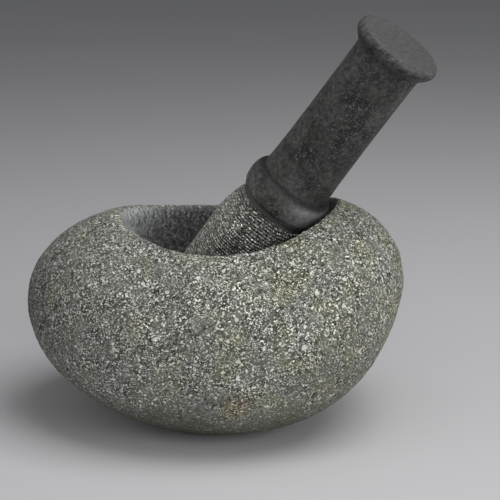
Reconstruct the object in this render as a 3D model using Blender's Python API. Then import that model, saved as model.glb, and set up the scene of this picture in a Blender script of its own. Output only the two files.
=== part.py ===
"""River-stone mortar with a turned stone pestle resting in its bowl.

Lengths are metres, +Z is up and the ground is z = 0. The origin is the middle of the
mortar's flat underside, +X is to the right and -Y is the front.

Two stones, two objects:
  mortar  a whole river cobble with a round bowl ground into its top
  pestle  one turned stone: capped grip, collar, and a head with a round foot
"""
import math

import bmesh
import bpy
import numpy as np
from mathutils import Matrix, Vector

MM = 0.001
QUARTER_TURN = 0.5 * math.pi
UPRIGHT = np.array([0.0, 0.0, 1.0])
CREASE_ANGLE = math.radians(20.0)       # sharper edges than this stay crisp when shaded
MERGE_DISTANCE = 0.01 * MM

# -------------------------------------------------------------- the two stones
MORTAR_COLOUR = (0.165, 0.170, 0.145)   # grey-green granite, rough
MORTAR_ROUGHNESS = 0.85
PESTLE_COLOUR = (0.052, 0.056, 0.050)   # dark granite, honed
PESTLE_ROUGHNESS = 0.50

# ---------------------------------------------------------------- the cobble
STONE_HALF_X = 85.0 * MM
STONE_HALF_Y = 80.0 * MM
STONE_UP = 54.3 * MM            # from the stone's middle to its natural top
STONE_DOWN = 52.5 * MM          # from its middle to its natural bottom
STONE_MIDDLE = np.array([0.0, 0.0, 49.0 * MM])      # lower than STONE_DOWN: ground flat below
STONE_FULLNESS = 2.2            # 2 is an ellipsoid, more is boxier
SWELL_WIDTH = 0.6               # radians over which a swelling or a hollow dies away
# Broad swellings (+) and hollows (-) of the cobble: where they point, share of the radius.
SWELLINGS = (
    ((0.80, -0.10, 0.60), 0.237),     # right shoulder
    ((-0.80, 0.00, 0.48), 0.115),     # left shoulder
    ((-0.45, 0.45, 0.77), -0.027),    # back of the rim at the left
    ((0.50, -0.60, 0.62), 0.018),     # front of the right shoulder
    ((0.85, 0.00, -0.50), -0.149),    # under the right side
    ((-0.85, 0.00, -0.50), -0.119),   # under the left side
    ((1.00, 0.00, 0.10), -0.064),     # right end
    ((-1.00, 0.00, -0.10), 0.099),    # left end
)

# ------------------------------------------------------------------ the bowl
BOWL_X = 4.8 * MM
BOWL_Y = -2.4 * MM
BOWL_RADIUS = 50.8 * MM
BOWL_PINCH = 1.9 * MM           # how far the wall is drawn in at the right
PINCH_POWER = 3.0               # how fast that dies away round the bowl
BOWL_MIDDLE_Z = 79.5 * MM       # half-round below this height, straight walled above it
RIM_ROLL_MIN = 1.8 * MM         # crisp edge at the right
RIM_ROLL_MAX = 8.5 * MM         # worn, rounded edge at the left
ROLL_POWER = 2.4                # how fast the wear dies away round the rim

MORTAR_SEGMENTS = 72
BOWL_ROWS = 14
WALL_ROWS = 3
RIM_ROWS = 6
FLANK_ROWS = 20
SKIN_HALVINGS = 40              # bisection steps to find the skin along a ray

# ---------------------------------------------------------------- the pestle
HEAD_RADIUS = 22.3 * MM
HEAD_LENGTH = 92.7 * MM         # tip of the foot to the widest ring of the collar
SHOULDER_LENGTH = 21.0 * MM     # the head draws in to the neck over this
NECK_RADIUS = 18.0 * MM
NECK_LENGTH = 1.6 * MM
COLLAR_RADIUS = 20.8 * MM
COLLAR_HALF = 7.0 * MM          # half the collar's length
GRIP_RADIUS_LOW = 17.3 * MM
GRIP_RADIUS_HIGH = 16.15 * MM
GRIP_LENGTH = 90.3 * MM         # widest ring of the collar to the flat top of the cap
CAP_RADIUS = 20.7 * MM
CAP_EDGE = 2.7 * MM             # radius of the cap's upper edge
CAP_FLARE = 8.3 * MM            # the grip opens out into the cap over this
FLARE_HANDLES = (0.45, 0.50)    # how far each end of the flare's S-curve runs straight

PESTLE_SEGMENTS = 48
ARC_STEPS = 5
SHOULDER_STEPS = 7
FOOT_STEPS = 9
FLARE_STEPS = 8

# ------------------------------------------------ how the pestle rests in the bowl
GAP = 0.35 * MM
LEAN = math.radians(37.2)               # of the pestle from the upright
LEAN_HEADING = math.radians(-26.5)      # towards the right and a little to the front
SEAT_SLOPE = math.radians(32.5)         # where the foot touches, from the lowest point
SEAT_HEADING = math.radians(145.4)      # towards the left and the back


def clear_scene():
    for item in list(bpy.data.objects):
        bpy.data.objects.remove(item, do_unlink=True)


def stone_material(name, colour, roughness):
    material = bpy.data.materials.new(name)
    material.use_nodes = True
    shader = material.node_tree.nodes["Principled BSDF"]
    shader.inputs["Base Color"].default_value = (*colour, 1.0)
    shader.inputs["Roughness"].default_value = roughness
    shader.inputs["Metallic"].default_value = 0.0
    return material


def add_object(name, mesh, material):
    data = bpy.data.meshes.new(name)
    mesh.to_mesh(data)
    mesh.free()
    data.materials.append(material)
    added = bpy.data.objects.new(name, data)
    bpy.context.scene.collection.objects.link(added)
    return added


# ---------------------------------------------------------------- mortar
def stone_radius(directions):
    """Distance from the stone's middle to its natural skin along unit directions."""
    x, y, z = directions.T
    half_z = np.where(z > 0.0, STONE_UP, STONE_DOWN)
    total = (np.abs(x / STONE_HALF_X) ** STONE_FULLNESS
             + np.abs(y / STONE_HALF_Y) ** STONE_FULLNESS
             + np.abs(z / half_z) ** STONE_FULLNESS)
    swell = np.ones(len(directions))
    for towards, amount in SWELLINGS:
        towards = np.array(towards) / np.linalg.norm(towards)
        angle = np.arccos(np.clip(directions @ towards, -1.0, 1.0))
        swell += amount * np.exp(-(angle / SWELL_WIDTH) ** 2)
    return swell * total ** (-1.0 / STONE_FULLNESS)


def inside_stone(points):
    offset = points - STONE_MIDDLE
    distance = np.linalg.norm(offset, axis=1)
    return distance < stone_radius(offset / distance[:, None])


def skin_distance(starts, directions):
    """How far rays from points inside the stone run before they leave it."""
    near = np.zeros(len(starts))
    far = np.full(len(starts), 2.0 * STONE_HALF_X)
    for _ in range(SKIN_HALVINGS):
        middle = 0.5 * (near + far)
        within = inside_stone(starts + directions * middle[:, None])
        near = np.where(within, middle, near)
        far = np.where(within, far, middle)
    return near


def ring(angles, radius, height):
    """Points round the bowl's upright axis; radius and height may vary with the angle."""
    return np.stack([BOWL_X + radius * np.cos(angles),
                     BOWL_Y + radius * np.sin(angles),
                     np.zeros(len(angles)) + height], axis=1)


def skin_height(angles, radius):
    """Height of the natural skin above a ring about the bowl's axis."""
    starts = ring(angles, radius, STONE_MIDDLE[2])
    upward = np.tile(UPRIGHT, (len(angles), 1))
    return STONE_MIDDLE[2] + skin_distance(starts, upward)


def bowl_radius(angles):
    """Radius of the bowl where it is widest: round, but drawn in a little at the right."""
    rightness = (0.5 + 0.5 * np.cos(angles)) ** PINCH_POWER
    return BOWL_RADIUS - BOWL_PINCH * rightness


def rim_roll(angles):
    """Size of the rounding of the rim: small at the right, wide at the left."""
    leftness = (0.5 - 0.5 * np.cos(angles)) ** ROLL_POWER
    return RIM_ROLL_MIN + (RIM_ROLL_MAX - RIM_ROLL_MIN) * leftness


def bowl_rings(angles):
    """Half-round bottom of the bowl, from near its lowest point up to full width."""
    for step in range(1, BOWL_ROWS + 1):
        slope = QUARTER_TURN * step / BOWL_ROWS
        yield ring(angles, bowl_radius(angles) * math.sin(slope),
                   BOWL_MIDDLE_Z - BOWL_RADIUS * math.cos(slope))


def wall_rings(angles, wall_top):
    for step in range(1, WALL_ROWS + 1):
        share = step / WALL_ROWS
        yield ring(angles, bowl_radius(angles),
                   (1.0 - share) * BOWL_MIDDLE_Z + share * wall_top)


def rim_rings(angles, wall_top, corner_top, outer_radius, outer_top):
    """Rolled rim: a curve that leaves the wall upright and meets the skin along it."""
    for step in range(1, RIM_ROWS + 1):
        t = step / RIM_ROWS
        radius = (1.0 - t * t) * bowl_radius(angles) + t * t * outer_radius
        height = ((1.0 - t) ** 2 * wall_top
                  + 2.0 * t * (1.0 - t) * corner_top
                  + t * t * outer_top)
        yield ring(angles, radius, height)


def flank_rings(angles, outer_radius, outer_top):
    """Natural skin of the cobble, from the rim down to the edge of the flat underside."""
    level = np.stack([np.cos(angles), np.sin(angles), np.zeros(len(angles))], axis=1)
    flat_radius = skin_distance(ring(angles, 0.0, 0.0), level)
    hub = ring(angles, 0.0, STONE_MIDDLE[2])
    first = np.arctan2(outer_radius, outer_top - STONE_MIDDLE[2])
    last = np.arctan2(flat_radius, -STONE_MIDDLE[2])
    for step in range(1, FLANK_ROWS):
        polar = (first + (last - first) * step / FLANK_ROWS)[:, None]
        directions = np.sin(polar) * level + np.cos(polar) * UPRIGHT
        yield hub + directions * skin_distance(hub, directions)[:, None]
    yield ring(angles, flat_radius, 0.0)


def mortar_rings():
    angles = np.linspace(0.0, 2.0 * math.pi, MORTAR_SEGMENTS, endpoint=False)
    roll = rim_roll(angles)
    corner_top = skin_height(angles, bowl_radius(angles))
    wall_top = corner_top - roll
    outer_radius = bowl_radius(angles) + roll
    outer_top = skin_height(angles, outer_radius)
    yield from bowl_rings(angles)
    yield from wall_rings(angles, wall_top)
    yield from rim_rings(angles, wall_top, corner_top, outer_radius, outer_top)
    yield from flank_rings(angles, outer_radius, outer_top)


def build_mortar():
    """Skin the rings in order, from the bowl's lowest point to the flat underside."""
    mesh = bmesh.new()
    bottom = mesh.verts.new((BOWL_X, BOWL_Y, BOWL_MIDDLE_Z - BOWL_RADIUS))
    rows = [[mesh.verts.new(point) for point in points] for points in mortar_rings()]
    for k in range(MORTAR_SEGMENTS):
        n = (k + 1) % MORTAR_SEGMENTS
        mesh.faces.new((bottom, rows[0][k], rows[0][n]))
        for row, after in zip(rows, rows[1:]):
            mesh.faces.new((row[n], row[k], after[k], after[n]))
    mesh.faces.new(rows[-1])
    bmesh.ops.recalc_face_normals(mesh, faces=mesh.faces)
    granite = stone_material("granite_mortar", MORTAR_COLOUR, MORTAR_ROUGHNESS)
    mortar = add_object("mortar", mesh, granite)
    mortar.data.shade_smooth()
    mortar.data.set_sharp_from_angle(angle=CREASE_ANGLE)
    return mortar


# ---------------------------------------------------------------- pestle
def arc(middle, half_width, half_height, start, end, steps):
    """Points of an elliptical arc, angles in quarter turns: 0 outward, 1 upward."""
    for step in range(steps + 1):
        angle = QUARTER_TURN * (start + (end - start) * step / steps)
        yield (middle[0] + half_width * math.cos(angle),
               middle[1] + half_height * math.sin(angle))


def cap_profile():
    """Flat top, round upper edge, then an S-curve in to the grip."""
    top = HEAD_LENGTH + GRIP_LENGTH
    widest = top - CAP_EDGE
    low = widest - CAP_FLARE
    yield (0.0, top)
    yield from arc((CAP_RADIUS - CAP_EDGE, widest), CAP_EDGE, CAP_EDGE, 1.0, 0.0, ARC_STEPS)
    handles = ((CAP_RADIUS, widest), (CAP_RADIUS, widest - FLARE_HANDLES[1] * CAP_FLARE),
               (GRIP_RADIUS_HIGH, low + FLARE_HANDLES[0] * CAP_FLARE), (GRIP_RADIUS_HIGH, low))
    for step in range(1, FLARE_STEPS + 1):
        t = step / FLARE_STEPS
        weights = ((1.0 - t) ** 3, 3.0 * t * (1.0 - t) ** 2, 3.0 * t * t * (1.0 - t), t ** 3)
        yield (sum(w * radius for w, (radius, _) in zip(weights, handles)),
               sum(w * height for w, (_, height) in zip(weights, handles)))


def collar_profile():
    """Half-round band from the foot of the grip to the neck."""
    above = COLLAR_RADIUS - GRIP_RADIUS_LOW
    below = COLLAR_RADIUS - NECK_RADIUS
    yield from arc((GRIP_RADIUS_LOW, HEAD_LENGTH), above, COLLAR_HALF, 1.0, 0.0, ARC_STEPS)
    lower = list(arc((NECK_RADIUS, HEAD_LENGTH), below, COLLAR_HALF, 0.0, -1.0, ARC_STEPS))
    yield from lower[1:]


def head_profile():
    """Neck, shoulder swelling to the full radius, straight head and half-round foot."""
    neck = HEAD_LENGTH - COLLAR_HALF - NECK_LENGTH
    for step in range(SHOULDER_STEPS + 1):
        share = 1.0 - step / SHOULDER_STEPS
        yield (HEAD_RADIUS - (HEAD_RADIUS - NECK_RADIUS) * share ** 2,
               neck - SHOULDER_LENGTH * (1.0 - share))
    yield from arc((0.0, HEAD_RADIUS), HEAD_RADIUS, HEAD_RADIUS, 0.0, -1.0, FOOT_STEPS)


def build_pestle():
    """Turn the profile, listed from the top down its outer side, about its own axis."""
    mesh = bmesh.new()
    profile = [*cap_profile(), *collar_profile(), *head_profile()]
    points = [mesh.verts.new((radius, 0.0, height)) for radius, height in profile]
    for point, after in zip(points, points[1:]):
        mesh.edges.new((point, after))
    granite = stone_material("granite_pestle", PESTLE_COLOUR, PESTLE_ROUGHNESS)
    pestle = add_object("pestle", mesh, granite)
    turning = pestle.modifiers.new("turning", "SCREW")
    turning.axis = "Z"
    turning.angle = 2.0 * math.pi
    turning.steps = PESTLE_SEGMENTS
    turning.render_steps = PESTLE_SEGMENTS
    turning.use_merge_vertices = True
    turning.merge_threshold = MERGE_DISTANCE
    turning.use_smooth_shade = True
    place_pestle(pestle)
    return pestle


def place_pestle(pestle):
    """Tip of the foot at the pestle's own origin, its axis leaning as it rests."""
    seat = Vector((math.sin(SEAT_SLOPE) * math.cos(SEAT_HEADING),
                   math.sin(SEAT_SLOPE) * math.sin(SEAT_HEADING),
                   -math.cos(SEAT_SLOPE)))
    bowl_middle = Vector((BOWL_X, BOWL_Y, BOWL_MIDDLE_Z))
    foot_middle = bowl_middle + seat * (BOWL_RADIUS - HEAD_RADIUS - GAP)
    turn = Matrix.Rotation(LEAN_HEADING, 3, "Z") @ Matrix.Rotation(LEAN, 3, "Y")
    pestle.rotation_euler = (0.0, LEAN, LEAN_HEADING)
    pestle.location = foot_middle - turn @ Vector((0.0, 0.0, HEAD_RADIUS))


clear_scene()
build_mortar()
build_pestle()
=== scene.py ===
"""Looks of the river-stone mortar and its turned stone pestle.

Metres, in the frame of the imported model: +Z is up, the ground is z = 0, +X is to the
right and -Y is the front. Two pieces stand for the two CAD nodes:

  mortar_stone  the cobble: pecked and river-worn outside, honed bowl, worn rim
  pestle_stone  the pestle: honed cap, grip and collar, head cut with fine rings

Four kinds of values come back below:

  wave     (size, height, seed) of the smooth noise that shapes a surface
  ramp     (from, to, value there, value there): a straight change, level beyond both ends
  patches  (size, detail, then a ramp of the noise): most shader noise is from 0.3 to 0.7
  spots    (cell, radius, share): that share of the cells holds a spot of up to that radius
"""

import math

import bmesh
import bpy
import numpy as np
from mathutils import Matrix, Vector, noise


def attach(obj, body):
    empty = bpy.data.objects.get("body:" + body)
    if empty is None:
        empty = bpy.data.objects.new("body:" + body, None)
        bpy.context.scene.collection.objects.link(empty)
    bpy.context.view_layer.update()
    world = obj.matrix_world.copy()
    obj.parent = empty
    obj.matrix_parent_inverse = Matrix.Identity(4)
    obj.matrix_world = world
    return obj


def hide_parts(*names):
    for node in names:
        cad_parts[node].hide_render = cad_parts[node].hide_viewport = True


MM = 0.001
SEED_SHIFT = (1.0, 0.37, -0.71)     # each step of a wave's seed shifts its noise by this

# ---------------------------------------------------------------- mortar's shape
WELD = 0.02 * MM                    # CAD corners closer than this are one corner
PAIR_TILT = math.radians(50.0)      # triangles that meet flatter than this make one quad
PAIR_SKEW = math.radians(60.0)      # unless its corners are further than this from square
ROUNDING_LEVELS = 2                 # subdivisions that round off the CAD's facets
STONE_CELL = 1.13 * MM              # edge of the mortar's fine mesh
BOWL_MIDDLE = np.array([4.8, -2.4, 79.5]) * MM      # the CAD's bowl: half-round below here
BOWL_RADIUS = 50.8 * MM
BOWL_PINCH = 1.9 * MM               # how far its wall is drawn in at the right
PINCH_POWER = 3.0
RIGHT = 0.0                         # headings from the bowl's axis, anticlockwise from +X
WEAR_HEADING = math.radians(155.0)  # the worn rim is widest at the left, a little to the back
LIT_DUST_HEADING = math.radians(168.0)  # rock dust and painted light pale the bowl's wall there
RIM_WEAR_MIN = 0.9 * MM             # width of the worn band along the rim, at the right
RIM_WEAR_MAX = 4.8 * MM             # and at the left
WEAR_POWER = 4.0
LIT_DUST_POWER = 11.0
LIT_DUST_BOTTOM = 66.0 * MM             # the dust and the painted light fade downward between these heights
LIT_DUST_TOP = 108.0 * MM
UNDULATION = (34.0 * MM, 0.45 * MM, 1.0)    # wave: the cobble's slow undulations
LUMPS = (9.0 * MM, 0.30 * MM, 2.0)          # wave: its small lumps
PECKING = (3.0 * MM, 0.26 * MM, 3.0)        # wave: its pecked, weathered roughness
HONED_WAVES = (16.0 * MM, 0.10 * MM, 4.0)   # wave: ripples left in the hand-ground bowl

# ---------------------------------------------------------------- pestle's shape
SEGMENTS = 256
FOOT_TOP = 22.3 * MM                # distances along the pestle from the tip of its foot
HEAD_TOP = 84.1 * MM
LIP_TOP = 87.6 * MM                 # a fine line is cut round the collar here, above its lip
COLLAR_TOP = 99.7 * MM
CAP_FOOT = 172.0 * MM
CAP_FACE_LOW = 0.8 * MM             # the cap's flat top starts this far below its highest point
CAP_FACE_HIGH = 0.2 * MM
CAP_EDGE_LOW = 4.0 * MM             # its edge starts to be worn and painted paler this far below its top
CAP_EDGE_HIGH = 1.5 * MM            # and is full here
CAP_EDGE_SHARE = 0.4                # against the collar's pale patch
ROUND_STEP = 0.8 * MM               # between rings of the mesh on the cap and the foot
SMOOTH_STEP = 1.4 * MM              # on the plain grip
COLLAR_STEP = 0.5 * MM              # on the collar
CREASE_SOFTENING = 2                # rounds of averaging that soften the turned creases
HEAD_FADE = 0.5 * MM                # how far the rough head takes to change to the neck
LIP_FADE = 1.0 * MM
COLLAR_FADE = 3.0 * MM
LIP_LINE = 0.45 * MM                # half of the width of the line above the lip
LIP_DEPTH = 0.30 * MM
CREASE_WIDTH = 1.0 * MM             # of the line of painted shade where the collar meets the grip
RING_PITCH = 1.40 * MM              # between the fine grooves cut round the head
RING_SAMPLES = 5                    # rings of the mesh in one groove
RING_DEPTH = 0.42 * MM
RING_START = 0.35 * FOOT_TOP        # they begin on the foot, and are full at its top
RING_WANDER = (7.0 * MM, 0.70 * MM, 5.0)    # wave: how far the grooves stray up and down
RING_PATCHES = (5.0 * MM, 0.8, 6.0)         # wave: patches where they are worn shallow
RING_DEEPNESS = 0.95                # of the grooves between those patches
RING_LEAST = 0.3                    # and where they are shallowest
HEAD_GRAIN = (1.6 * MM, 0.10 * MM, 7.0)     # wave: roughness of the head
GRIP_GRAIN = (7.0 * MM, 0.05 * MM, 8.0)     # wave: unevenness of the honed stone
DASHES = (0.55 * MM, 1.0, 9.0)              # wave: pale and dark dashes on the head
DASH_SQUEEZE = 0.30                 # the turning draws them out round the head
DASH_CUT = 0.6                      # how much they break up the grooves
SHELTERED_LIT_SIDE = np.array([-0.80, -0.10, 0.59])     # dusty, less cut and painted paler as if lit: up and left
SHELTER_START = 0.45                # dot products of a normal with that side
SHELTER_FULL = 1.00
SHELTER_FILL = 0.5                  # how much of the grooves is lost there
RUBBED_LIT_SIDE = np.array([0.74, -0.46, -0.49])        # knocks against the mortar's rim; painted light bounced from the mortar
RUBBED_LIT_START = 0.30                 # dot products of a normal with that side
RUBBED_LIT_FULL = 0.86
PAINTED_SHADE_START = -0.25                  # dot products of a normal with the pestle's axis
PAINTED_SHADE_FULL = 0.45
PAINTED_SHADE_REACH = 12.0 * MM              # how far the painted shade reaches down the head
PAINTED_SHADE_EDGE = 2.0 * MM                # it is full this far below the head's top
HEAD_SHADE_START = 0.25              # dot products of a normal with the sheltered side
HEAD_SHADE_FULL = 0.75
HEAD_SHADE_SHARE = 0.65                    # against the painted shade on the collar

# ---------------------------------------------------------------- granite
# Each crystal takes a colour from a row of (share, shade, tint): the share of crystals
# below that shade, its lightness, and the colour that multiplies the lightness.
DARK_TINT = (0.98, 1.00, 0.80)
GREEN_TINT = (0.97, 1.00, 0.83)
CREAM_TINT = (0.98, 1.00, 0.93)
GREY_TINT = (1.00, 1.00, 0.98)
ROUGH_SHADES = ((0.00, 0.004, DARK_TINT), (0.28, 0.028, DARK_TINT), (0.50, 0.112, GREEN_TINT),
                (0.77, 0.210, GREEN_TINT), (0.86, 0.660, CREAM_TINT), (1.00, 1.000, CREAM_TINT))
HONED_SHADES = ((0.00, 0.018, GREY_TINT), (0.55, 0.056, GREY_TINT), (0.85, 0.110, GREY_TINT),
                (1.00, 0.190, GREY_TINT))
GRIP_SHADES = ((0.00, 0.002, GREY_TINT), (0.50, 0.012, GREY_TINT), (0.82, 0.038, GREY_TINT),
               (1.00, 0.095, GREY_TINT))
HEAD_SHADES = ((0.00, 0.008, DARK_TINT), (0.35, 0.060, GREEN_TINT), (0.75, 0.190, GREEN_TINT),
               (0.88, 0.520, CREAM_TINT), (1.00, 0.950, CREAM_TINT))
COARSE_CRYSTAL = 0.64 * MM
FINE_CRYSTAL = 0.40 * MM
HONED_CRYSTAL = 0.9 * MM
GRIP_CRYSTAL = 0.6 * MM
HEAD_CRYSTAL = 0.45 * MM
CRYSTAL_JITTER = (0.6, 0.45)        # size and reach of the crystals' ragged outlines, in crystals
SPOT_JITTER = (0.5, 0.22)           # and of the spots' outlines, in cells
SPOT_CORE = 0.7                     # a spot is solid out to this share of its radius
GROUND = (0.180, 0.187, 0.161)      # fine paste between the crystals, where it is hazy
FLECK = (0.78, 0.81, 0.77)          # single large feldspars
PIT = (0.010, 0.011, 0.009)         # dark clots and open pits

# The mortar's rough skin.
CRYSTAL_MIX = (4.0 * MM, 2.0, 0.42, 0.58, 0.0, 1.0)         # patches: coarse to fine crystals
FINE_RELIEF = 0.5                   # of the fine crystals, against the coarse ones
HAZE_NOISE = (9.0 * MM, 3.0)        # size and detail
LOW_HAZE = (25.0 * MM, 65.0 * MM, 0.13, 0.0)                # ramp: thicker at low heights
HAZE = (0.45, 0.70, 0.0, 0.45)      # ramp
FLECKS = (2.8 * MM, 0.70 * MM, 0.32)        # spots
FLECK_COVER = 0.8
LARGE_FLECKS = (6.0 * MM, 1.15 * MM, 0.50)  # spots
LARGE_FLECK_COVER = 0.7
PITS = (3.4 * MM, 0.70 * MM, 0.24)          # spots
PIT_COVER = 0.85
PIT_RELIEF = 1.5                    # depth of the pits, against the crystals' relief

# What weather and use have left on that skin, and painted shade low down and at its left end.
AREAS = (28.0 * MM, 3.0, 0.3, 0.7, 0.86, 1.22)              # patches: darker to lighter
OLIVE = (1.03, 1.00, 0.80)          # a thin film that yellows the stone
OLIVE_NOISE = (15.0 * MM, 2.0)      # size and detail
OLIVE_SPREAD = (-60.0 * MM, 40.0 * MM, -0.10, 0.08)         # ramp: thicker to the right
OLIVE_FILM = (0.44, 0.70, 0.0, 0.80)        # ramp
RAGGED_EDGE = (20.0 * MM, 2.0, 0.0, 1.0, -12.0 * MM, 12.0 * MM)     # patches: of the next two
# painted shade near the floor, a little yellow
BASE_PAINTED_SHADE = (0.47, 0.46, 0.38)
BASE_SHADE_HEIGHTS = (6.0 * MM, 30.0 * MM, 1.0, 0.0)             # ramp: painted shade on the underside, near the floor
BASE_PASTE_SHARE = 0.6                  # how much of that low band is paste that hides the crystals
LEFT_END_PAINTED_SHADE = (-94.0 * MM, -74.0 * MM, 0.62, 1.0)              # ramp: painted shade, darker at the left end
IRON = (1.08, 0.86, 0.68)
IRON_JITTER = (6.0 * MM, 5.0 * MM)  # size and reach of the stains' ragged outlines
IRON_CORE = 0.3                     # a stain is full out to this share of its reach
# Faint rust stains, low on the front and on the right flank: (place, reach).
IRON_STAINS = (((0.008, -0.071, 0.031), 10.0 * MM), ((0.078, -0.025, 0.058), 7.0 * MM),
               ((0.064, -0.038, 0.042), 6.0 * MM))

# The honed bowl, and how it meets the skin.
STROKE_STRETCH = 2.2                # the grinding's marks are this much taller than wide
BLOTCHES = (1.7 * MM, 3.0, 0.3, 0.7, 0.35, 1.85)            # patches
BOWL_PAINTED_SHADE = (60.0 * MM, 105.0 * MM, 0.42, 1.35)           # ramp: painted shade, darker deep in the bowl and paler up at the rim
WALL_DUST_AND_LIGHT = (0.520, 0.560, 0.535)        # rock dust, and painted light on the bowl's wall
LIT_DUST_PATCHES = (1.2 * MM, 2.0, 0.40, 0.62, 0.22, 1.0)
RIM_PATCHES = (1.6 * MM, 2.0, 0.0, 1.0, -0.40, 0.40)        # fray the edge of the honed stone
HONED_EDGE = (0.35, 0.75, 0.0, 1.0)         # ramp
HONED_KEEN = (0.2, 1.0, 1.0, 0.12)          # ramp: the bump fades on the honed stone

# The pestle's honed stone, above its head.
PLAIN_GRIP = (0.032, 0.035, 0.031)  # even dark stone, where no crystals show
PLAIN_PATCHES = (11.0 * MM, 3.0, 0.38, 0.56, 0.25, 1.0)
OILY = (1.04, 1.00, 0.80)           # hands have yellowed it
OILY_PATCHES = (9.0 * MM, 2.0, 0.50, 0.70, 0.0, 0.7)
DUSTY_GRIP = (0.080, 0.085, 0.078)
DUSTY_NOISE = (14.0 * MM, 4.0)      # size and detail
LIT_SIDE_DUST = 0.25                # more of the pale film on the sheltered side: partly dust, partly painted light
DUSTY_FILM = (0.46, 0.70, 0.0, 0.65)        # ramp
GRIP_CLOUDS = (2.0 * MM, 4.0, 0.3, 0.7, 0.40, 1.62)         # patches
PORES = (1.5 * MM, 0.42 * MM, 0.5)          # spots
PORE_COVER = 0.8
COLLAR_SHADE = 1.8                  # the collar is this much paler than the grip
LIP_WEAR_AND_REFLECTION = (0.150, 0.158, 0.140)         # the collar's lip is pale: partly dusty wear, partly painted light reflected from the head
LIP_COVER = 0.6
LINE_PAINTED_SHADE = 0.45                   # painted shade in the lines round the collar
RUBBED_AND_LIT = (0.185, 0.187, 0.182)      # the collar's side that knocks against the rim: rock dust and painted bounced light
RUBBED_LIT_PATCHES = (2.5 * MM, 3.0, 0.3, 0.7, 0.25, 1.0)
CAP_TOP = (0.062, 0.062, 0.061)     # the cap's flat top is even and smooth
CAP_CLOUDS = (1.8 * MM, 4.0, 0.3, 0.7, 0.72, 1.28)          # patches
CAP_COVER = 0.9
PAINTED_SHADE_FACTOR = 0.42                   # painted shade: the stone is this much darker there
SPECULAR = 0.35                     # the pestle is less glossy than bare polished stone

# The pestle's rough head.
SHELTER_GROUND = 0.35               # paste that hides the crystals on the sheltered side
SHELTER_PAINTED_LIGHT = 1.25                # painted light: that side is this much paler
DASH_SHADES = (-0.45, 0.45, 0.45, 1.70)     # ramp
HEAD_CLOUDS = (1.9 * MM, 2.0, 0.3, 0.7, 0.72, 1.34)         # patches
GROOVE_PAINTED_LIGHT = (0.15, 0.75, 1.25, 0.20)    # ramp: painted highlight on the ridges, painted shade in the grooves

# Gloss and bump.
ROUGH_STONE = 0.88                  # roughness of the mortar's skin and the pestle's head
HONED_BOWL = 0.55
HONED_PESTLE = 0.62
BUMP_DEPTH = 0.55 * MM
MORTAR_GRIT = (0.5 * MM, 3.0)       # size and detail
CRYSTAL_BUMP = 0.5                  # of the crystals, against the grit
PESTLE_GRIT = (0.6 * MM, 3.0)
HONED_PESTLE_BUMP = 0.22            # of the honed stone, against the head

# ---------------------------------------------------------------- studio and camera
FLOOR = (0.50, 0.50, 0.51)
FLOOR_HALF = 6.0
FLOOR_DROP = 0.1 * MM               # keeps the floor clear of the stone's flat underside
FLOOR_PATCHES = (0.4, 2.0, 0.3, 0.7, 0.96, 1.0)
FLOOR_ROUGHNESS = 0.9
LIT_PLACE = Vector((0.0, 0.0, 0.08))        # all lights face this place
# Soft lights: (name, place, size, watts).
SOFTBOXES = (("top_light", (0.35, -0.25, 1.05), 0.8, 9.0),
             ("right_light", (0.80, -0.80, 0.42), 0.6, 6.2),
             ("left_light", (-0.90, -0.40, 0.50), 0.6, 1.1),
             ("front_light", (-0.05, -1.10, 0.45), 0.9, 2.7))
SKY = (0.80, 0.81, 0.83)
SKY_STRENGTH = 0.22
CAMERA_LENS = 105.0
CAMERA_TARGET = Vector((0.0129, 0.0, 0.0810))
CAMERA_DISTANCE = 0.700
CAMERA_PITCH = math.radians(14.0)


# ---------------------------------------------------------------- small helpers
def smoothstep(low, high, value):
    """0 to 1 as the value goes from low to high, or down to it if high is the smaller."""
    share = np.clip((value - low) / (high - low), 0.0, 1.0)
    return share * share * (3.0 - 2.0 * share)


def noise_field(points, wave):
    """Smooth noise at points, about -1 to 1 times the wave's height."""
    size, height, seed = wave
    shift = Vector([seed * part for part in SEED_SHIFT])
    values = [noise.noise(Vector(point) / size + shift) for point in points]
    return height * np.array(values)


def vertex_array(mesh, what):
    """The mesh's vertices as rows of numbers: their places (co) or their normals (normal)."""
    values = np.empty(3 * len(mesh.vertices), np.float32)
    if what == "normal":
        mesh.vertex_normals.foreach_get("vector", values)
    else:
        mesh.vertices.foreach_get(what, values)
    return values.reshape(-1, 3).astype(float)


def add_relief(mesh, points, normals, relief):
    """Move the points along their normals, but never underground, and the mesh with them."""
    points += normals * relief[:, None]
    points[:, 2] = np.maximum(points[:, 2], 0.0)
    mesh.vertices.foreach_set("co", points.astype(np.float32).ravel())
    mesh.shade_smooth()


def add_attribute(mesh, name, values):
    """One number per vertex, which the material reads by this name."""
    attribute = mesh.attributes.new(name, "FLOAT", "POINT")
    attribute.data.foreach_set("value", values.astype(np.float32))


def add_object(name, data):
    added = bpy.data.objects.new(name, data)
    bpy.context.scene.collection.objects.link(added)
    return added


def add_stone(name, mesh, material):
    """A piece that has this material and no other."""
    stone = add_object(name, mesh)
    mesh.materials.clear()
    mesh.materials.append(material)
    return stone


def welded(node):
    """The CAD node's mesh for editing, each corner once."""
    work = bmesh.new()
    work.from_mesh(node.data)
    bmesh.ops.remove_doubles(work, verts=work.verts, dist=WELD)
    return work


def evaluated_mesh(item):
    """The object's mesh with its modifiers applied; the object itself is removed."""
    graph = bpy.context.evaluated_depsgraph_get()
    mesh = bpy.data.meshes.new_from_object(item.evaluated_get(graph), depsgraph=graph)
    bpy.data.objects.remove(item)
    return mesh


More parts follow.
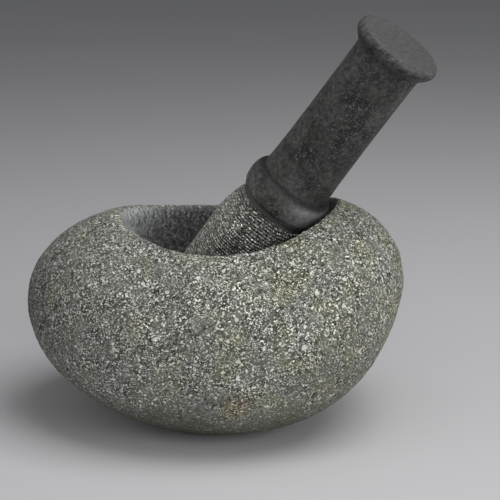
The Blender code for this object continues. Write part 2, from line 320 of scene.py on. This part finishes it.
# ---------------------------------------------------------------- mortar
def quad_mesh(node):
    """The CAD node's mesh with its triangles paired back into quads."""
    work = welded(node)
    bmesh.ops.join_triangles(work, faces=work.faces, angle_face_threshold=PAIR_TILT,
                             angle_shape_threshold=PAIR_SKEW)
    mesh = bpy.data.meshes.new("stone_work")
    work.to_mesh(mesh)
    work.free()
    return mesh


def fine_stone_mesh(node):
    """Round off the CAD's facets, then give the stone one even, fine grid of faces."""
    rough = add_object("stone_work", quad_mesh(node))
    rounding = rough.modifiers.new("rounding", "SUBSURF")
    rounding.levels = ROUNDING_LEVELS
    rounding.render_levels = ROUNDING_LEVELS
    grid = rough.modifiers.new("grid", "REMESH")
    grid.mode = "VOXEL"
    grid.voxel_size = STONE_CELL
    return evaluated_mesh(rough)


def nearness(points, heading):
    """1 where a point lies that way from the bowl's axis, 0 where it lies the other way."""
    angles = np.arctan2(points[:, 1] - BOWL_MIDDLE[1], points[:, 0] - BOWL_MIDDLE[0])
    return 0.5 + 0.5 * np.cos(angles - heading)


def depth_into_stone(points):
    """Distance of points from the hollow of the bowl, 0 on its wall and floor."""
    offset = points - BOWL_MIDDLE
    level = np.hypot(offset[:, 0], offset[:, 1])
    distance = np.where(offset[:, 2] < 0.0, np.linalg.norm(offset, axis=1), level)
    pinch = BOWL_PINCH * nearness(points, RIGHT) ** PINCH_POWER * level / distance
    return distance + pinch - BOWL_RADIUS


def honed_share(points):
    """1 in the honed bowl, 0 on the natural skin; a wide worn band only at the left."""
    towards = nearness(points, WEAR_HEADING) ** WEAR_POWER
    wear = RIM_WEAR_MIN + (RIM_WEAR_MAX - RIM_WEAR_MIN) * towards
    return 1.0 - smoothstep(0.0, 1.0, depth_into_stone(points) / wear)


def dust_and_light_share(points):
    """Rock dust with painted light: 1 high on the bowl's wall at the left and back, fading
    downward and to both sides.
    """
    towards = nearness(points, LIT_DUST_HEADING) ** LIT_DUST_POWER
    return towards * smoothstep(LIT_DUST_BOTTOM, LIT_DUST_TOP, points[:, 2])


def mortar_relief(points, honed):
    """Height of the pecked and river-worn skin, and of the honed bowl's ripples."""
    skin = (noise_field(points, UNDULATION) + noise_field(points, LUMPS)
            + noise_field(points, PECKING))
    ground = -np.abs(noise_field(points, HONED_WAVES))
    return (1.0 - honed) * skin + honed * ground


def build_mortar(node):
    mesh = fine_stone_mesh(node)
    points = vertex_array(mesh, "co")
    honed = honed_share(points)
    add_relief(mesh, points, vertex_array(mesh, "normal"), mortar_relief(points, honed))
    add_attribute(mesh, "honed", honed)
    add_attribute(mesh, "dust_and_light", dust_and_light_share(points))
    return add_stone("mortar_stone", mesh, mortar_granite())


# ---------------------------------------------------------------- pestle's turned form
def welded_points(node):
    """The CAD node's corners, each one once."""
    work = welded(node)
    points = np.array([corner.co for corner in work.verts])
    work.free()
    return points


def turning_axis(points):
    """The way a turned stone's points spread most, pointing up: the axis it was turned on."""
    axis = np.linalg.svd(points - points.mean(axis=0), full_matrices=False)[2][0]
    return axis if axis[2] > 0.0 else -axis


def turned_rings(points, axis):
    """The tip on the pestle's axis, and (distance along it, radius) of each CAD ring."""
    along = points @ axis
    tip = points[np.argmin(along)]
    along = along - tip @ axis
    radius = np.linalg.norm(points - tip - np.outer(along, axis), axis=1)
    order = np.argsort(along)
    gaps = np.flatnonzero(np.diff(along[order]) > WELD) + 1
    rings = [(along[group].mean(), radius[group].max()) for group in np.split(order, gaps)]
    return tip, np.array([*rings, (rings[-1][0], 0.0)])


def slopes(places, values):
    """Tangents for a smooth curve through values that never overshoots them."""
    steps = np.diff(places)
    rates = np.diff(values) / steps
    inner = np.zeros(len(values) - 2)
    same_way = rates[:-1] * rates[1:] > 0.0
    before = 2.0 * steps[1:] + steps[:-1]
    after = steps[1:] + 2.0 * steps[:-1]
    inner[same_way] = ((before + after)[same_way]
                       / (before[same_way] / rates[:-1][same_way]
                          + after[same_way] / rates[1:][same_way]))
    return np.concatenate([rates[:1], inner, rates[-1:]])


def smooth_curve(places, values, wanted):
    """Values at the wanted places on a smooth curve through the given ones."""
    tangent = slopes(places, values)
    span = np.clip(np.searchsorted(places, wanted, side="right") - 1, 0, len(places) - 2)
    length = np.diff(places)[span]
    t = (wanted - places[span]) / length
    return ((2 * t ** 3 - 3 * t ** 2 + 1) * values[span]
            + (t ** 3 - 2 * t ** 2 + t) * length * tangent[span]
            + (3 * t ** 2 - 2 * t ** 3) * values[span + 1]
            + (t ** 3 - t ** 2) * length * tangent[span + 1])


def ring_step(along):
    """How far apart the mesh's rings are at a distance along the pestle."""
    if FOOT_TOP < along < HEAD_TOP:
        return RING_PITCH / RING_SAMPLES
    if HEAD_TOP <= along <= COLLAR_TOP:
        return COLLAR_STEP
    if COLLAR_TOP < along < CAP_FOOT:
        return SMOOTH_STEP
    return ROUND_STEP


def profile_curve(rings):
    """Fine (distance along the axis, radius) points from the foot's tip to the cap's centre."""
    chord = np.concatenate([[0.0], np.cumsum(np.hypot(*np.diff(rings, axis=0).T))])
    places = [0.0]
    while places[-1] < chord[-1]:
        along = np.interp(places[-1], chord, rings[:, 0])
        places.append(places[-1] + ring_step(along))
    places = np.array(places) * chord[-1] / places[-1]
    curve = np.stack([smooth_curve(chord, rings[:, 0], places),
                      np.maximum(smooth_curve(chord, rings[:, 1], places), 0.0)], axis=1)
    for _ in range(CREASE_SOFTENING):
        curve[1:-1] = 0.25 * curve[:-2] + 0.5 * curve[1:-1] + 0.25 * curve[2:]
    return curve


def turned_corners(profile, tip, axis):
    """Rings of points round the axis, with one point at each end."""
    aside = Vector(axis).orthogonal().normalized()
    across = Vector(axis).cross(aside)
    angles = np.linspace(0.0, 2.0 * math.pi, SEGMENTS, endpoint=False)
    outward = np.outer(np.cos(angles), aside) + np.outer(np.sin(angles), across)
    middle = tip + np.outer(profile[1:-1, 0], axis)
    rings = middle[:, None, :] + profile[1:-1, 1][:, None, None] * outward[None, :, :]
    top = tip + axis * profile[-1, 0]
    return np.concatenate([[tip], rings.reshape(-1, 3), [top]])


def turned_mesh(profile, tip, axis):
    """Surface of revolution about the axis; both ends close at a point on it."""
    corners = turned_corners(profile, tip, axis)
    rows = len(profile) - 2
    last = 1 + (rows - 1) * SEGMENTS
    faces = []
    for k in range(SEGMENTS):
        n = (k + 1) % SEGMENTS
        faces.append((0, 1 + n, 1 + k))
        for low in range(1, last, SEGMENTS):
            high = low + SEGMENTS
            faces.append((low + k, low + n, high + n, high + k))
        faces.append((last + k, last + n, len(corners) - 1))
    mesh = bpy.data.meshes.new("pestle_stone")
    mesh.from_pydata(corners.tolist(), [], faces)
    mesh.update()
    return mesh


# ---------------------------------------------------------------- pestle's surface
def head_share(along):
    """1 on the rough-turned head, 0 on the neck, collar, grip and cap."""
    return 1.0 - smoothstep(HEAD_TOP - HEAD_FADE, HEAD_TOP, along)


def collar_share(along, top):
    """1 on the collar up to the given top, fading out at both ends."""
    return (smoothstep(HEAD_TOP, HEAD_TOP + COLLAR_FADE, along)
            * smoothstep(top, top - COLLAR_FADE, along))


def lip_share(along):
    """1 on the collar's narrow lip, next to the head."""
    return (smoothstep(HEAD_TOP, HEAD_TOP + LIP_FADE, along)
            * smoothstep(LIP_TOP, LIP_TOP - LIP_FADE, along))


def cap_share(along):
    """1 on the cap's flat top."""
    return smoothstep(-CAP_FACE_LOW, -CAP_FACE_HIGH, along - along.max())


def line_share(along, place, half_width):
    """1 on a fine line round the pestle, fading to both sides."""
    return np.exp(-((along - place) / half_width) ** 2)


def sheltered_lit_share(normals):
    """1 on the side that faces up and left, where the turned head is dusty, less cut and painted
    paler as if lit.
    """
    return smoothstep(SHELTER_START, SHELTER_FULL, normals @ SHELTERED_LIT_SIDE)


def rubbed_and_lit_share(normals, along):
    """1 on the collar's low side, which knocks against the rim and is painted paler as if lit
    from the mortar; less on the cap's edge, a painted highlight there.
    """
    below_top = along.max() - along
    edge = CAP_EDGE_SHARE * smoothstep(CAP_EDGE_LOW, CAP_EDGE_HIGH, below_top)
    worn_and_lit = collar_share(along, COLLAR_TOP) + edge
    return worn_and_lit * smoothstep(RUBBED_LIT_START, RUBBED_LIT_FULL, normals @ RUBBED_LIT_SIDE)


def painted_shade_share(normals, axis, along):
    """1 where shade is painted: on the collar's upper side and, just under the collar, on the
    head.
    """
    above = collar_share(along, COLLAR_TOP + COLLAR_FADE)
    above *= smoothstep(PAINTED_SHADE_START, PAINTED_SHADE_FULL, normals @ axis)
    below = head_share(along) * smoothstep(HEAD_TOP - PAINTED_SHADE_REACH, HEAD_TOP - PAINTED_SHADE_EDGE, along)
    below *= smoothstep(HEAD_SHADE_START, HEAD_SHADE_FULL, normals @ SHELTERED_LIT_SIDE)
    return above + HEAD_SHADE_SHARE * below


def dash_field(points, tip, axis):
    """Noise that runs round the head in dashes: its points are drawn in towards the axis."""
    middle = tip + np.outer((points - tip) @ axis, axis)
    return noise_field(middle + DASH_SQUEEZE * (points - middle), DASHES)


def groove_share(points, along):
    """0 to 1 with the depth of the fine, slightly wandering grooves round the head."""
    wander = noise_field(points, RING_WANDER)
    wave = 0.5 - 0.5 * np.cos(2.0 * math.pi * (along + wander) / RING_PITCH)
    patchy = np.clip(RING_DEEPNESS + noise_field(points, RING_PATCHES), RING_LEAST, 1.0)
    fade = smoothstep(RING_START, FOOT_TOP, along) * head_share(along)
    return wave * patchy * fade


def pestle_shares(points, normals, tip, axis):
    """How far each look goes at each point, by the name that the material reads it by."""
    along = (points - tip) @ axis
    sheltered_and_lit = sheltered_lit_share(normals)
    dashes = dash_field(points, tip, axis)
    groove = groove_share(points, along) * (1.0 - SHELTER_FILL * sheltered_and_lit)
    groove *= np.clip(1.0 + DASH_CUT * dashes, RING_LEAST, 1.0)
    rubbed_and_lit = rubbed_and_lit_share(normals, along)
    lip_line = line_share(along, LIP_TOP, LIP_LINE)
    crease = line_share(along, COLLAR_TOP, CREASE_WIDTH)
    return {"head": head_share(along), "groove": groove, "sheltered_and_lit": sheltered_and_lit,
            "dashes": dashes, "rubbed_and_lit": rubbed_and_lit, "lip": lip_share(along),
            "painted_shade": painted_shade_share(normals, axis, along) * (1.0 - rubbed_and_lit),
            "collar": collar_share(along, COLLAR_TOP), "cap": cap_share(along),
            "lip_line": lip_line, "shaded_lines": np.maximum(lip_line, crease)}


def pestle_relief(points, shares):
    """Height of the stone's grain, less the grooves and the line round the collar."""
    grain = (shares["head"] * noise_field(points, HEAD_GRAIN)
             + (1.0 - shares["head"]) * noise_field(points, GRIP_GRAIN))
    return grain - RING_DEPTH * shares["groove"] - LIP_DEPTH * shares["lip_line"]


def build_pestle(node):
    corners = welded_points(node)
    axis = turning_axis(corners)
    tip, rings = turned_rings(corners, axis)
    mesh = turned_mesh(profile_curve(rings), tip, axis)
    points = vertex_array(mesh, "co")
    normals = vertex_array(mesh, "normal")
    shares = pestle_shares(points, normals, tip, axis)
    add_relief(mesh, points, normals, pestle_relief(points, shares))
    for name, values in shares.items():
        add_attribute(mesh, name, values)
    return add_stone("pestle_stone", mesh, pestle_granite())


# ---------------------------------------------------------------- shader helpers
class Graph:
    """Shader nodes of one material, each added and wired in one call."""

    def __init__(self, name):
        self.material = bpy.data.materials.new(name)
        self.material.use_nodes = True
        self.tree = self.material.node_tree
        self.shader = self.tree.nodes["Principled BSDF"]
        self.place = self.add("ShaderNodeTexCoord").outputs["Object"]
        parts = self.add("ShaderNodeSeparateXYZ", {"Vector": self.place}).outputs
        self.sideways = parts["X"]
        self.height = parts["Z"]

    def add(self, kind, inputs=None, **settings):
        """A node with its settings made and its inputs fed."""
        node = self.tree.nodes.new(kind)
        for name, value in settings.items():
            setattr(node, name, value)
        for socket, value in (inputs or {}).items():
            self.feed(node.inputs[socket], value)
        return node

    def feed(self, socket, value):
        """Wire another node's output to the socket, or give it a plain value."""
        if isinstance(value, bpy.types.NodeSocket):
            self.tree.links.new(value, socket)
        else:
            socket.default_value = value

    def attribute(self, name):
        return self.add("ShaderNodeAttribute", attribute_name=name).outputs["Fac"]

    def maths(self, operation, first, second=0.0):
        return self.add("ShaderNodeMath", {0: first, 1: second},
                        operation=operation).outputs["Value"]

    def plus(self, first, second):
        return self.maths("ADD", first, second)

    def times(self, first, second):
        return self.maths("MULTIPLY", first, second)

    def vector_maths(self, operation, first, second, socket=1, result="Vector"):
        return self.add("ShaderNodeVectorMath", {0: first, socket: second},
                        operation=operation).outputs[result]

    def remap(self, value, ramp):
        """The value put through a ramp."""
        low, high, new_low, new_high = ramp
        node = self.add("ShaderNodeMapRange", {"Value": value, "From Min": low, "From Max": high,
                                               "To Min": new_low, "To Max": new_high})
        return node.outputs["Result"]

    def between(self, share, first, second):
        """The first value where the share is 0, the second where it is 1."""
        return self.remap(share, (0.0, 1.0, first, second))

    def noise(self, size, detail=2.0, where=None):
        node = self.add("ShaderNodeTexNoise", {"Vector": where or self.place,
                                               "Scale": 1.0 / size, "Detail": detail})
        return node.outputs["Fac"]

    def patches(self, kind, where=None):
        """Noise put through a ramp."""
        size, detail, *ramp = kind
        return self.remap(self.noise(size, detail, where), ramp)

    def cells(self, size, where):
        """A Voronoi texture's node: Distance from each cell's middle, Color random per cell."""
        return self.add("ShaderNodeTexVoronoi", {"Vector": where, "Scale": 1.0 / size})

    def upright(self, stretch):
        """The object's place squeezed in height: a texture there is drawn out upright."""
        return self.vector_maths("MULTIPLY", self.place, (1.0, 1.0, 1.0 / stretch))

    def jitter(self, size, reach):
        """The object's place shifted about by noise, so that cells get ragged outlines."""
        shift = self.add("ShaderNodeTexNoise", {"Vector": self.place, "Scale": 1.0 / size,
                                                "Detail": 1.0}).outputs["Color"]
        middle = self.vector_maths("SUBTRACT", shift, (0.5, 0.5, 0.5))
        scaled = self.vector_maths("SCALE", middle, 2.0 * reach, socket="Scale")
        return self.vector_maths("ADD", self.place, scaled)

    def stops(self, value, rows):
        """Colours (place, shade, tint) along a value: a shade is a grey, a tint colours it."""
        node = self.add("ShaderNodeValToRGB", {"Fac": value})
        elements = node.color_ramp.elements
        while len(elements) > 1:
            elements.remove(elements[-1])
        for k, (place, shade, tint) in enumerate(rows):
            element = elements[0] if k == 0 else elements.new(place)
            element.position = place
            element.color = (*(shade * part for part in tint), 1.0)
        return node.outputs["Color"]

    def blend(self, share, first, second, mode="MIX"):
        """Two colours mixed: a Mix node's sockets 6 and 7, and its output 2, are colours."""
        node = self.add("ShaderNodeMix", {0: share, 6: first, 7: second},
                        data_type="RGBA", blend_type=mode)
        return node.outputs[2]

    def paint(self, colour, share, pigment):
        """A plain pigment that covers the colour by a share."""
        return self.blend(share, colour, (*pigment, 1.0))

    def tint_by(self, colour, share, tint):
        """A see-through tint that changes the colour by a share."""
        return self.blend(share, colour, (*tint, 1.0), "MULTIPLY")

    def shade(self, colour, factor):
        """The colour made darker or lighter by a factor."""
        return self.blend(1.0, colour, factor, "MULTIPLY")

    def bump(self, height):
        return self.add("ShaderNodeBump", {"Height": height,
                                           "Distance": BUMP_DEPTH}).outputs["Normal"]

    def finish(self, colour, roughness, normal):
        """Wire up the shader, and hand back the finished material."""
        self.feed(self.shader.inputs["Base Color"], colour)
        self.feed(self.shader.inputs["Roughness"], roughness)
        self.feed(self.shader.inputs["Normal"], normal)
        return self.material


def first_channel(graph, colour):
    return graph.add("ShaderNodeSeparateColor", {"Color": colour}).outputs["Red"]


def crystals(graph, size, shades):
    """Interlocked crystals of one size: (their colours, a random number for each)."""
    jitter_size, jitter_reach = CRYSTAL_JITTER
    ragged = graph.jitter(jitter_size * size, jitter_reach * size)
    chance = first_channel(graph, graph.cells(size, ragged).outputs["Color"])
    return graph.stops(chance, shades), chance


def spots(graph, kind):
    """1 in scattered ragged spots, 0 between them."""
    cell, radius, share = kind
    jitter_size, jitter_reach = SPOT_JITTER
    spread = graph.cells(cell, graph.jitter(jitter_size * cell, jitter_reach * cell))
    chosen = graph.maths("LESS_THAN", first_channel(graph, spread.outputs["Color"]), share)
    edge = (SPOT_CORE * radius / cell, radius / cell, 1.0, 0.0)
    return graph.times(chosen, graph.remap(spread.outputs["Distance"], edge))


# ---------------------------------------------------------------- mortar's material
def rough_granite(graph):
    """Pecked skin, grey-green crystals with pale feldspars and dark clots: (colour, height)."""
    coarse, coarse_chance = crystals(graph, COARSE_CRYSTAL, ROUGH_SHADES)
    fine, fine_chance = crystals(graph, FINE_CRYSTAL, ROUGH_SHADES)
    colour = graph.blend(graph.patches(CRYSTAL_MIX), coarse, fine)
    hazy = graph.plus(graph.noise(*HAZE_NOISE), graph.remap(graph.height, LOW_HAZE))
    colour = graph.paint(colour, graph.remap(hazy, HAZE), GROUND)
    for kind, cover in ((FLECKS, FLECK_COVER), (LARGE_FLECKS, LARGE_FLECK_COVER)):
        colour = graph.paint(colour, graph.times(spots(graph, kind), cover), FLECK)
    pits = spots(graph, PITS)
    colour = graph.paint(colour, graph.times(pits, PIT_COVER), PIT)
    grains = graph.plus(coarse_chance, graph.times(fine_chance, FINE_RELIEF))
    return colour, graph.maths("SUBTRACT", grains, graph.times(pits, PIT_RELIEF))


def olive_film(graph, colour):
    """Patches of olive film, which thicken to the right."""
    spread = graph.remap(graph.sideways, OLIVE_SPREAD)
    filmy = graph.plus(graph.noise(*OLIVE_NOISE), spread)
    return graph.tint_by(colour, graph.remap(filmy, OLIVE_FILM), OLIVE)


def base_and_end_shade(graph, colour):
    """Painted shade on the stone's underside, where paste also hides the crystals, and painted
    shade on its left end.
    """
    ragged = graph.patches(RAGGED_EDGE)
    low_shade = graph.remap(graph.plus(graph.height, ragged), BASE_SHADE_HEIGHTS)
    colour = graph.paint(colour, graph.times(low_shade, BASE_PASTE_SHARE), GROUND)
    # painted shade on the underside
    colour = graph.tint_by(colour, low_shade, BASE_PAINTED_SHADE)
    # painted shade at the left end
    return graph.shade(colour, graph.remap(graph.plus(graph.sideways, ragged), LEFT_END_PAINTED_SHADE))


def rust_stains(graph, colour):
    """Faint stains of iron, each with a ragged outline."""
    ragged = graph.jitter(*IRON_JITTER)
    for place, reach in IRON_STAINS:
        away = graph.vector_maths("DISTANCE", ragged, place, result="Value")
        rusty = graph.remap(away, (IRON_CORE * reach, reach, 1.0, 0.0))
        colour = graph.tint_by(colour, rusty, IRON)
    return colour


def weathered_and_shaded(graph, colour):
    """Slow changes over the skin: lighter and darker areas, film, painted shade low down and at
    the left end, and rust.
    """
    colour = graph.shade(colour, graph.patches(AREAS))
    return rust_stains(graph, base_and_end_shade(graph, olive_film(graph, colour)))


def honed_granite(graph):
    """Hand-ground bowl: dark and blotchy, with painted shade towards its floor and painted light
    with rock dust high at the left.
    """
    colour, _ = crystals(graph, HONED_CRYSTAL, HONED_SHADES)
    strokes = graph.upright(STROKE_STRETCH)
    colour = graph.shade(colour, graph.patches(BLOTCHES, strokes))
    # painted shade deep in the bowl
    colour = graph.shade(colour, graph.remap(graph.height, BOWL_PAINTED_SHADE))
    # painted light with rock dust, high on the bowl's wall at the left
    dust_and_light = graph.times(graph.attribute("dust_and_light"), graph.patches(LIT_DUST_PATCHES, strokes))
    return graph.paint(colour, dust_and_light, WALL_DUST_AND_LIGHT)


def mortar_granite():
    graph = Graph("granite_mortar_looks")
    rough, rough_height = rough_granite(graph)
    honed = graph.attribute("honed")
    inside = graph.remap(graph.plus(honed, graph.patches(RIM_PATCHES)), HONED_EDGE)
    colour = graph.blend(inside, weathered_and_shaded(graph, rough), honed_granite(graph))
    height = graph.plus(graph.times(rough_height, CRYSTAL_BUMP), graph.noise(*MORTAR_GRIT))
    normal = graph.bump(graph.times(height, graph.remap(honed, HONED_KEEN)))
    return graph.finish(colour, graph.between(inside, ROUGH_STONE, HONED_BOWL), normal)


# ---------------------------------------------------------------- pestle's material
def honed_pestle(graph, sheltered_and_lit):
    """Dark honed stone: faint speckles, plain and oily patches, dust with painted light on the
    sheltered side, clouds and pores.
    """
    speckled, _ = crystals(graph, GRIP_CRYSTAL, GRIP_SHADES)
    colour = graph.blend(graph.patches(PLAIN_PATCHES), (*PLAIN_GRIP, 1.0), speckled)
    colour = graph.tint_by(colour, graph.patches(OILY_PATCHES), OILY)
    # painted light: the pale film is thicker on the side facing up and left
    dust_and_light = graph.plus(graph.noise(*DUSTY_NOISE), graph.times(sheltered_and_lit, LIT_SIDE_DUST))
    colour = graph.paint(colour, graph.remap(dust_and_light, DUSTY_FILM), DUSTY_GRIP)
    colour = graph.shade(colour, graph.patches(GRIP_CLOUDS))
    return graph.paint(colour, graph.times(spots(graph, PORES), PORE_COVER), PIT)


def collar_wear_and_light(graph, colour):
    """A paler collar with a pale lip of wear and painted reflection, painted shade in its lines,
    and a low side rubbed by the mortar's rim and painted as lit.
    """
    colour = graph.shade(colour, graph.between(graph.attribute("collar"), 1.0, COLLAR_SHADE))
    # pale lip: wear and painted reflected light
    colour = graph.paint(colour, graph.times(graph.attribute("lip"), LIP_COVER), LIP_WEAR_AND_REFLECTION)
    # painted shade in the lines round the collar
    colour = graph.shade(colour, graph.between(graph.attribute("shaded_lines"), 1.0, LINE_PAINTED_SHADE))
    # pale low side: dust from the rim and painted bounced light
    rubbed_and_lit = graph.times(graph.attribute("rubbed_and_lit"), graph.patches(RUBBED_LIT_PATCHES))
    return graph.paint(colour, rubbed_and_lit, RUBBED_AND_LIT)


def even_cap(graph, colour):
    """The cap's flat top, a little paler and more even than the grip."""
    cap_stone = graph.shade((*CAP_TOP, 1.0), graph.patches(CAP_CLOUDS))
    return graph.blend(graph.times(graph.attribute("cap"), CAP_COVER), colour, cap_stone)


def rough_head(graph, sheltered_and_lit):
    """Raw stone of the turned head: dashes, painted highlights on the ridges and painted shade in
    the grooves, dust and painted light to one side.
    """
    colour, _ = crystals(graph, HEAD_CRYSTAL, HEAD_SHADES)
    colour = graph.paint(colour, graph.times(sheltered_and_lit, SHELTER_GROUND), GROUND)
    colour = graph.shade(colour, graph.remap(graph.attribute("dashes"), DASH_SHADES))
    colour = graph.shade(colour, graph.patches(HEAD_CLOUDS))
    # painted light on the side facing up and left
    colour = graph.shade(colour, graph.between(sheltered_and_lit, 1.0, SHELTER_PAINTED_LIGHT))
    # painted highlight on the ridges, painted shade in the grooves
    return graph.shade(colour, graph.remap(graph.attribute("groove"), GROOVE_PAINTED_LIGHT))


def pestle_granite():
    graph = Graph("granite_pestle_looks")
    head = graph.attribute("head")
    sheltered_and_lit = graph.attribute("sheltered_and_lit")
    honed = even_cap(graph, collar_wear_and_light(graph, honed_pestle(graph, sheltered_and_lit)))
    colour = graph.blend(head, honed, rough_head(graph, sheltered_and_lit))
    # painted shade on the collar's upper side and on the head just under it
    colour = graph.shade(colour, graph.between(graph.attribute("painted_shade"), 1.0, PAINTED_SHADE_FACTOR))
    keen = graph.between(head, HONED_PESTLE_BUMP, 1.0)
    normal = graph.bump(graph.times(graph.noise(*PESTLE_GRIT), keen))
    graph.shader.inputs["Specular IOR Level"].default_value = SPECULAR
    return graph.finish(colour, graph.between(head, HONED_PESTLE, ROUGH_STONE), normal)


# ---------------------------------------------------------------- studio
def floor_material():
    graph = Graph("pale_floor")
    colour = graph.shade((*FLOOR, 1.0), graph.patches(FLOOR_PATCHES))
    graph.feed(graph.shader.inputs["Base Color"], colour)
    graph.shader.inputs["Roughness"].default_value = FLOOR_ROUGHNESS
    return graph.material


def build_floor():
    mesh = bmesh.new()
    bmesh.ops.create_grid(mesh, x_segments=2, y_segments=2, size=FLOOR_HALF)
    data = bpy.data.meshes.new("floor")
    mesh.to_mesh(data)
    mesh.free()
    data.materials.append(floor_material())
    floor = add_object("floor", data)
    floor.location.z = -FLOOR_DROP


def add_softbox(name, place, size, watts):
    light = bpy.data.lights.new(name, "AREA")
    light.shape = "SQUARE"
    light.size = size
    light.energy = watts
    lamp = add_object(name, light)
    lamp.location = place
    lamp.rotation_euler = (LIT_PLACE - Vector(place)).to_track_quat("-Z", "Y").to_euler()


def build_sky():
    world = bpy.data.worlds.new("studio")
    world.use_nodes = True
    background = world.node_tree.nodes["Background"]
    background.inputs["Color"].default_value = (*SKY, 1.0)
    background.inputs["Strength"].default_value = SKY_STRENGTH
    bpy.context.scene.world = world


def build_camera():
    camera = bpy.data.cameras.new("camera")
    camera.lens = CAMERA_LENS
    eye = add_object("camera", camera)
    back = Vector((0.0, -math.cos(CAMERA_PITCH), math.sin(CAMERA_PITCH)))
    eye.location = CAMERA_TARGET + CAMERA_DISTANCE * back
    eye.rotation_euler = (0.5 * math.pi - CAMERA_PITCH, 0.0, 0.0)
    bpy.context.scene.camera = eye


# ---------------------------------------------------------------- the scene
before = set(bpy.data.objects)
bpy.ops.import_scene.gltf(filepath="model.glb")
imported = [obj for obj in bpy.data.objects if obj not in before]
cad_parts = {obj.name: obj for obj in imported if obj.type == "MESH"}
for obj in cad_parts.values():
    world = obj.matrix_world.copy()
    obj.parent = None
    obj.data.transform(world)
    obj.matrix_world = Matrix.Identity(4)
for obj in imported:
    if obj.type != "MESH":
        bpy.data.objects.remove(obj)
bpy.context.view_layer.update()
stones = {"mortar": build_mortar(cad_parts["mortar"]),
          "pestle": build_pestle(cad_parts["pestle"])}
for name, stone in stones.items():
    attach(stone, name)
    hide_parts(name)
build_floor()
for softbox in SOFTBOXES:
    add_softbox(*softbox)
build_sky()
build_camera()
bpy.context.scene.view_settings.view_transform = "Standard"
